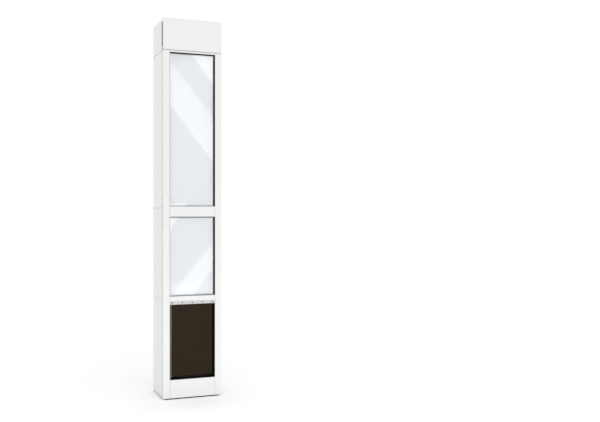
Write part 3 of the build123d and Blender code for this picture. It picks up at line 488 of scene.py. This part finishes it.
def screw_body(head_radius, head_height, shank_radius, length, countersunk):
    """One screw along -Z, with its head's underside, or its rim if countersunk, at 0."""
    if countersunk:
        dome = [
            (head_radius, 0.0),
            (head_radius * 0.98, 0.45 * head_height),
            (head_radius * 0.85, 0.8 * head_height),
            (head_radius * 0.5, 0.97 * head_height),
            (head_radius * 0.12, head_height),
        ]
        under = [(shank_radius, shank_radius - head_radius)]
    else:
        dome = [
            (head_radius, 0.25 * head_height),
            (head_radius * 0.95, 0.62 * head_height),
            (head_radius * 0.8, 0.86 * head_height),
            (head_radius * 0.45, 0.98 * head_height),
            (head_radius * 0.12, head_height),
        ]
        under = [(head_radius * 0.96, 0.0), (shank_radius, 0.0)]
    profile = list(reversed(dome)) + under
    half_pitch = shank_radius * 0.4
    thread_top = under[-1][1] - 2 * half_pitch
    for i in range(int((length - 4 * half_pitch) / half_pitch)):
        crest_or_root = 1.0 if i % 2 else 0.82
        profile.append((shank_radius * crest_or_root, thread_top - i * half_pitch))
    profile.append((0.1 * shank_radius, -length))
    angles = [2 * math.pi * i / SCREW_SIDES for i in range(SCREW_SIDES)]
    mesh = bmesh.new()
    loft(mesh, [[(radius * math.cos(a), radius * math.sin(a), z) for a in angles] for radius, z in profile])
    return closed_mesh(mesh, "screw_body")


def cross_cutter(head_radius, top):
    """The tapered cross that the driver's recess is cut with, turned off the head's own corners."""
    mesh = bmesh.new()
    arm, thick, depth = 0.56 * head_radius, 0.13 * head_radius, 0.62 * head_radius
    levels = [(1.1, top + 0.2 * head_radius), (1.0, top), (0.35, top - depth)]
    for turn in (0.0, math.pi / 2):
        spin = Matrix.Rotation(turn + SLIGHT_TURN, 3, "Z")
        sections = []
        for scale, z in levels:
            reach = arm * scale
            corners = [(-reach, -thick), (reach, -thick), (reach, thick), (-reach, thick)]
            sections.append([spin @ Vector((x, y, z)) for x, y in corners])
        loft(mesh, sections)
    return closed_mesh(mesh, "cross_cutter")


def applied_difference(body, cutter):
    """The body's mesh with the cutter taken out of it."""
    solid = bpy.data.objects.new("screw_blank", body)
    tool = bpy.data.objects.new("screw_tool", cutter)
    scene.collection.objects.link(solid)
    scene.collection.objects.link(tool)
    cut = solid.modifiers.new("recess", "BOOLEAN")
    cut.operation = "DIFFERENCE"
    cut.solver = "EXACT"
    cut.use_self = True
    cut.object = tool
    bpy.context.view_layer.update()
    evaluated = solid.evaluated_get(bpy.context.evaluated_depsgraph_get())
    result = bpy.data.meshes.new_from_object(evaluated)
    bpy.data.objects.remove(solid)
    bpy.data.objects.remove(tool)
    return result


def screws(name, node, places, outward, head, shank, finish="screw", body="panel", countersunk=False):
    """A group of screws whose heads face outward, each turned a little differently in its hole.

    head is the head's radius and height, and shank the shank's radius and length.
    """
    one = applied_difference(screw_body(*head, *shank, countersunk), cross_cutter(*head))
    turn_out = Vector(outward).to_track_quat("Z", "Y").to_matrix().to_4x4()
    chance = random.Random(node)
    mesh = bmesh.new()
    for place in places:
        spin = Matrix.Rotation(chance.uniform(0, math.pi / 2), 4, "Z")
        copy = one.copy()
        copy.transform(Matrix.Translation(place) @ turn_out @ spin)
        mesh.from_mesh(copy)
        bpy.data.meshes.remove(copy)
    piece = piece_from(mesh, name, finish, body, smooth=35.0)
    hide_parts(node)


def islands(node):
    """The boxes of a node's separate solids, as (low, high) corners."""
    mesh = bmesh.new()
    mesh.from_mesh(nodes[node].data)
    bmesh.ops.remove_doubles(mesh, verts=mesh.verts, dist=1e-6)
    left, found = set(mesh.verts), []
    while left:
        group, edge = set(), [left.pop()]
        while edge:
            vertex = edge.pop()
            group.add(vertex)
            near = {e.other_vert(vertex) for e in vertex.link_edges} & left
            left -= near
            edge.extend(near)
        corners = [v.co for v in group]
        low = Vector([min(c[i] for c in corners) for i in range(3)])
        high = Vector([max(c[i] for c in corners) for i in range(3)])
        found.append((low, high))
    mesh.free()
    return sorted(found, key=lambda pair: tuple(pair[0]))


def middles(node, axis, face):
    """The middles of a node's separate solids, moved along an axis to the face that they sit in."""
    places = [(low + high) / 2 for low, high in islands(node)]
    for place in places:
        place[axis] = face
    return places


screws(
    "clamp_bar_screws",
    "flap_clamp_screws",
    middles("flap_clamp_screws", 1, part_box("flap_clamp_bar")[0].y),
    outward=(0, -1, 0),
    head=(4.0 * MM, 2.3 * MM),
    shank=(1.85 * MM, 23.5 * MM),
)
screws(
    "keeper_plate_screws",
    "keeper_screws",
    middles("keeper_screws", 0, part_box("keeper_plate")[0].x),
    outward=(-1, 0, 0),
    head=(3.9 * MM, 1.1 * MM),
    shank=(1.8 * MM, 11.8 * MM),
    countersunk=True,
)
screws(
    "tray_fixing_screw",
    "bolt_tray_screw",
    middles("bolt_tray_screw", 0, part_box("bolt_tray_screw")[0].x),
    outward=(-1, 0, 0),
    head=(4.5 * MM, 3.2 * MM),
    shank=(1.8 * MM, 6.4 * MM),
    finish="black_screw",
    body="cap",
    countersunk=True,
)


# ---------------------------------------------------------------- bolt tray
def tray_flange():
    """The rounded lip of the bolt's tray, which lies on the cap's side around the tray's mouth; its
    near-black finish widens the slot's dark line, partly painted shade.
    """
    low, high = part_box("bolt_tray")
    mouth_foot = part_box("bolt_knob")[0].z
    wide, proud, round_edge = 3.0 * MM, 0.7 * MM, 0.3 * MM
    corner, sunk = 1.5 * MM, 0.05 * MM
    middle_y, middle_z = (low.y + high.y) / 2, (mouth_foot + high.z) / 2
    half_y, half_z = (high.y - low.y) / 2, (high.z - mouth_foot) / 2

    def ring(grow, out):
        """A rounded rectangle round the mouth, grown outwards, at a distance out from the cap's side."""
        radius = corner + grow
        points = []
        for quarter, (side_y, side_z) in enumerate(((1, 1), (-1, 1), (-1, -1), (1, -1))):
            for step in range(7):
                angle = math.radians(90 * quarter + 15 * step)
                y = middle_y + side_y * (half_y - corner) + radius * math.cos(angle)
                z = middle_z + side_z * (half_z - corner) + radius * math.sin(angle)
                points.append((low.x - out, y, z))
        return points

    profile = [
        (0.0, -sunk),
        (0.0, proud - round_edge),
        (round_edge, proud),
        (wide - 2 * round_edge, proud),
        (wide, proud - 2 * round_edge),
        (wide, -sunk),
    ]
    mesh = bmesh.new()
    loft(mesh, [ring(grow, out) for grow, out in profile], hoop=True)
    piece_from(mesh, "bolt_tray_flange", "tray", "cap", smooth=50.0)


tray_flange()


def knob_grip():
    """The ribbed thumb grip on the face of the bolt's knob."""
    low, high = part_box("bolt_knob")
    thick, sunk, groove, ribs = 3.6 * MM, 0.1 * MM, 0.7 * MM, 5
    margin, side, chamfer, shrink = 2 * MM, 0.4 * MM, 0.5 * MM, 0.9
    foot, head = low.z + margin, high.z - margin
    back = low.x + sunk
    pitch = (head - foot) / ribs
    face = []
    for i in range(ribs):
        for share, depth in ((0.1, groove), (0.3, 0.0), (0.7, 0.0), (0.9, groove)):
            face.append((back - thick + depth, foot + pitch * (i + share)))
    outline = [(back, foot)] + face + [(back, head)]
    centre_x, centre_z = back - thick / 2, (foot + head) / 2
    inset = side + chamfer
    slices = [
        (low.y + side, shrink),
        (low.y + inset, 1.0),
        (high.y - inset, 1.0),
        (high.y - side, shrink),
    ]
    sections = []
    for y, scale in slices:
        section = []
        for x, z in outline:
            scaled_x = centre_x + (x - centre_x) * scale
            scaled_z = centre_z + (z - centre_z) * scale
            section.append((scaled_x, y, scaled_z))
        sections.append(section)
    mesh = bmesh.new()
    loft(mesh, sections)
    piece_from(mesh, "bolt_knob_grip", "black", "edge_bolt", smooth=25.0)


knob_grip()


# ---------------------------------------------------------------- weatherstrips, gaskets and base strips
PILE_STEP = 4 * MM
# Where each bank starts and ends, as shares of the strip's width
PILE_BANKS = ((-0.5, -0.06), (0.06, 0.5))
# A bank's section, as shares of its width and of its crown's height
PILE_PROFILE = ((0.0, 0.0), (0.04, 0.55), (0.25, 0.93), (0.5, 1.0), (0.75, 0.93), (0.96, 0.55), (1.0, 0.0))


def pile_strip(name, node, outward):
    """Weatherstrip: two banks of pile with an uneven crown, and a thin fin between them."""
    chance = random.Random(node)
    mesh = bmesh.new()
    for low, high in islands(node):
        base = high.x if outward < 0 else low.x
        tall = high.x - low.x
        middle, wide = (low.y + high.y) / 2, high.y - low.y
        steps = int((high.z - low.z) / PILE_STEP)
        for start, end in PILE_BANKS:
            sections = []
            for i in range(steps + 1):
                z = low.z + (high.z - low.z) * i / steps
                crown = tall * chance.uniform(0.84, 0.99)
                section = []
                for share, rise in PILE_PROFILE:
                    lean = chance.uniform(-0.15, 0.15) * MM if rise else 0.0
                    y = middle + wide * (start + (end - start) * share) + lean
                    y = min(max(y, low.y), high.y)
                    section.append((base + outward * crown * rise, y, z))
                sections.append(section)
            loft(mesh, sections)
        fin = wide * 0.02
        profile = [(0.0, -fin), (0.92, -fin), (0.92, fin), (0.0, fin)]
        ends = [[(base + outward * tall * up, middle + y, z) for up, y in profile] for z in (low.z, high.z)]
        loft(mesh, ends)
    strip = piece_from(mesh, name, "pile", "panel", smooth=80.0)
    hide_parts(node)


pile_strip("left_pile_strip", "left_edge_pile", -1)
pile_strip("right_pile_strip", "right_edge_pile", 1)


def window_gasket(name, node, pane_front):
    """A window's rubber gasket: a liner with a feathered front edge, and a wiper that leans on the glass."""
    low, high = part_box(node)
    front, back, half = low.y, high.y, high.x

    def corners(side, head, sill):
        """The opening's four corners, drawn in by a distance at its sides, its head and its sill."""
        left, right, foot, top = -half + side, half - side, low.z + sill, high.z - head
        return ((left, foot), (left, top), (right, top), (right, foot))

    def sections(profile):
        """The profile at the four corners, from its (side, head, sill) in millimetres and its y."""
        rings = [corners(side * MM, head * MM, sill * MM) for side, head, sill, _ in profile]
        depths = [y for *_, y in profile]
        return [[(ring[i][0], y, ring[i][1]) for ring, y in zip(rings, depths)] for i in range(4)]

    liner = [
        (0.0, 0.0, 0.0, front),
        (0.35, 0.35, 0.0, front),
        (2.0, 2.0, 0.0, front + 8 * MM),
        (2.0, 2.0, 0.0, back),
        (0.0, 0.0, 0.0, back),
    ]
    wiper = [
        (1.9, 1.9, -0.3, pane_front - 7.0 * MM),
        (4.2, 3.0, 0.3, pane_front - 1.8 * MM),
        (5.0, 3.4, 1.5, pane_front - 0.3 * MM),
        (5.0, 3.4, 1.7, pane_front),
        (1.0, 1.0, -0.6, pane_front),
        (1.0, 1.0, -0.6, pane_front - 7.0 * MM),
    ]
    mesh = bmesh.new()
    loft(mesh, sections(liner))
    loft(mesh, sections(wiper), hoop=True)
    piece = piece_from(mesh, name, "rubber", "panel", smooth=20.0)
    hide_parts(node)


window_gasket("upper_window_gasket", "upper_gasket", glass_front)
window_gasket("lower_window_gasket", "lower_gasket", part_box("lower_outer_pane")[0].y)

# Half of a base strip's section, as shares of its half width and of its height
RIB_PROFILE = (
    (1.0, 0.0),
    (1.0, 0.22),
    (0.96, 0.3),
    (1.0, 0.38),
    (1.0, 0.6),
    (0.96, 0.68),
    (1.0, 0.76),
    (0.97, 1.0),
)


def ribbed_strip(mesh, low, high, along):
    """A rubber strip with grooves along its faces, between two corners, that runs along axis 0 or 1."""
    across = 1 - along
    middle, half = (low[across] + high[across]) / 2, (high[across] - low[across]) / 2
    tall = high.z - low.z
    outline = []
    for side in (-1, 1):
        face = [(middle + side * half * reach, low.z + tall * rise) for reach, rise in RIB_PROFILE]
        outline += face if side > 0 else list(reversed(face))
    sections = []
    for end in (low[along], high[along]):
        section = []
        for across_at, z in outline:
            point = [0.0, 0.0, z]
            point[along], point[across] = end, across_at
            section.append(tuple(point))
        sections.append(section)
    loft(mesh, sections)


def base_strips():
    """The ribbed rubber strips that the panel stands on."""
    mesh = bmesh.new()
    for low, high in islands("base_seal"):
        ribbed_strip(mesh, low, high, 0 if high.x - low.x > high.y - low.y else 1)
    strips = piece_from(mesh, "base_strips", "rubber", "panel", smooth=20.0)
    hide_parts("base_seal")


base_strips()


# ---------------------------------------------------------------- camera
CAMERA_PLACE = Vector((-1.083, -4.538, 1.046))
VIEW_YAW = math.radians(21.45)
FOCAL_LENGTH = 48.12
camera_data = bpy.data.cameras.new("camera")
camera_data.sensor_width = 36.0
camera_data.lens = FOCAL_LENGTH
camera_data.clip_end = 200.0
camera = bpy.data.objects.new("camera", camera_data)
camera.location = CAMERA_PLACE
camera.rotation_euler = (math.radians(90.0), 0.0, -VIEW_YAW)
scene.collection.objects.link(camera)
scene.camera = camera


# ---------------------------------------------------------------- floor, sky and lamps
def pale_floor():
    """A large sheet of pale studio paper."""
    mesh = bmesh.new()
    side = 60.0
    corners = [(-side, -side, 0.0), (side, -side, 0.0), (side, side, 0.0), (-side, side, 0.0)]
    mesh.faces.new([mesh.verts.new(c) for c in corners])
    data = bpy.data.meshes.new("floor")
    mesh.to_mesh(data)
    mesh.free()
    floor = bpy.data.objects.new("floor", data)
    scene.collection.objects.link(floor)
    paper = Finish("studio_floor", (0.97, 0.97, 0.975), 0.7, Specular_IOR_Level=0.1)
    paper.tint(paper.remap(paper.noise(0.4), 0.0, 0.3), (0.96, 0.96, 0.965))
    paper.gloss(paper.noise(0.2), 0.66, 0.76)
    data.materials.append(paper.material)


pale_floor()

# The sky is white to the eye and lights the room a little more than that
SKY_LIGHT = 1.04
world = bpy.data.worlds.new("studio")
world.use_nodes = True
tree = world.node_tree
background = tree.nodes["Background"]
background.inputs["Color"].default_value = (1.0, 1.0, 1.0, 1.0)
ray = tree.nodes.new("ShaderNodeLightPath")
level = tree.nodes.new("ShaderNodeMapRange")
level.inputs["To Min"].default_value = SKY_LIGHT
level.inputs["To Max"].default_value = 1.0
tree.links.new(ray.outputs["Is Camera Ray"], level.inputs["Value"])
tree.links.new(level.outputs["Result"], background.inputs["Strength"])
scene.world = world


def softbox(name, place, target, size, power):
    """A rectangular area lamp that looks at a point, and that no glass or polished face shows."""
    data = bpy.data.lights.new(name, "AREA")
    data.shape = "RECTANGLE"
    data.size, data.size_y = size
    data.energy = power
    lamp = bpy.data.objects.new(name, data)
    lamp.location = place
    lamp.rotation_euler = (Vector(target) - Vector(place)).to_track_quat("-Z", "Y").to_euler()
    lamp.visible_camera = False
    lamp.visible_glossy = False
    lamp.visible_transmission = False
    scene.collection.objects.link(lamp)


softbox("front_softbox", place=(-0.2, -7.0, 2.2), target=(0.0, 0.0, 1.0), size=(4.0, 4.0), power=60.0)
softbox("foot_fill", place=(0.05, -1.05, 0.16), target=(0.0, -0.14, 0.1), size=(0.6, 0.25), power=1.05)


# ---------------------------------------------------------------- sheen on the glass
CARD_LIGHT = 4.9
# How far a card runs on past the ends of its band, on the glass
CARD_MARGIN = 0.04
CARD_PLANE_Y = -2.6
CARD_COLUMNS = 12
CARD_ROWS = 24
MIRRORED_EYE = Vector((CAMERA_PLACE.x, 2 * glass_front - CAMERA_PLACE.y, CAMERA_PLACE.z))


def sheen_material():
    """Light that fades into nothing where the card's glow attribute falls to 0."""
    glow = bpy.data.materials.new("sheen_card")
    glow.use_nodes = True
    nodes_in = glow.node_tree.nodes
    nodes_in.clear()
    strength = nodes_in.new("ShaderNodeAttribute")
    strength.attribute_name = "glow"
    lit = nodes_in.new("ShaderNodeEmission")
    clear = nodes_in.new("ShaderNodeBsdfTransparent")
    mix = nodes_in.new("ShaderNodeMixShader")
    out = nodes_in.new("ShaderNodeOutputMaterial")
    lit.inputs["Strength"].default_value = CARD_LIGHT
    links = glow.node_tree.links
    links.new(strength.outputs["Fac"], mix.inputs["Fac"])
    links.new(clear.outputs["BSDF"], mix.inputs[1])
    links.new(lit.outputs["Emission"], mix.inputs[2])
    links.new(mix.outputs["Shader"], out.inputs["Surface"])
    return glow


SHEEN = sheen_material()


def smooth(value):
    """An eased step from 0 to 1."""
    value = min(1.0, max(0.0, value))
    return value * value * (3 - 2 * value)


def sheen_card(name, ends, lower, upper, soft_lower, soft_upper=0.0, peak=1.0):
    """A light card in front of the panel that the glass mirrors as a slanting band.

    ends are the band's left and right ends on the glass, and lower and upper are its edges' heights there.
    Each edge fades over its soft width, and peak is the band's brightness.
    """
    left, right = ends
    reach = (CARD_PLANE_Y - MIRRORED_EYE.y) / (glass_front - MIRRORED_EYE.y)
    spare = CARD_MARGIN / (right - left)
    mesh = bmesh.new()
    glow_layer = mesh.verts.layers.float.new("glow")
    grid = []
    for i in range(CARD_COLUMNS + 1):
        share = -spare + (1 + 2 * spare) * i / CARD_COLUMNS
        x = left + (right - left) * share
        low = lower[0] + (lower[1] - lower[0]) * share
        high = upper[0] + (upper[1] - upper[0]) * share
        column = []
        for j in range(CARD_ROWS + 1):
            z = low + (high - low) * j / CARD_ROWS
            on_glass = Vector((x, glass_front, z))
            vertex = mesh.verts.new(MIRRORED_EYE + (on_glass - MIRRORED_EYE) * reach)
            edge_low = smooth((z - low) / soft_lower)
            edge_high = smooth((high - z) / soft_upper) if soft_upper else 1.0
            vertex[glow_layer] = peak * min(edge_low, edge_high)
            column.append(vertex)
        grid.append(column)
    for a, b in zip(grid, grid[1:]):
        for j in range(CARD_ROWS):
            mesh.faces.new((a[j], b[j], b[j + 1], a[j + 1]))
    data = bpy.data.meshes.new(name)
    mesh.to_mesh(data)
    mesh.free()
    data.materials.append(SHEEN)
    card = bpy.data.objects.new(name, data)
    card.visible_camera = False
    card.visible_diffuse = False
    card.visible_transmission = False
    card.visible_shadow = False
    card.visible_volume_scatter = False
    scene.collection.objects.link(card)


pane_ends = (pane_low.x, pane_high.x)
sheen_card("sheen_top", (-0.01, pane_high.x), lower=(1.935, 1.755), upper=(2.03, 2.03), soft_lower=0.012)
sheen_card("sheen_middle", pane_ends, (1.64, 1.315), (1.90, 1.586), 0.006, soft_upper=0.03, peak=0.68)
sheen_card("sheen_corner", (pane_low.x, -0.06), lower=(0.925, 1.03), upper=(1.09, 1.09), soft_lower=0.012)
sheen_card("sheen_low", pane_ends, (0.40, 0.72), (0.588, 0.898), 0.008, soft_upper=0.06, peak=0.76)


# ---------------------------------------------------------------- colour management and finish
scene.view_settings.view_transform = "Standard"
scene.view_settings.look = "None"
scene.view_settings.exposure = 0.0
scene.view_settings.gamma = 1.0
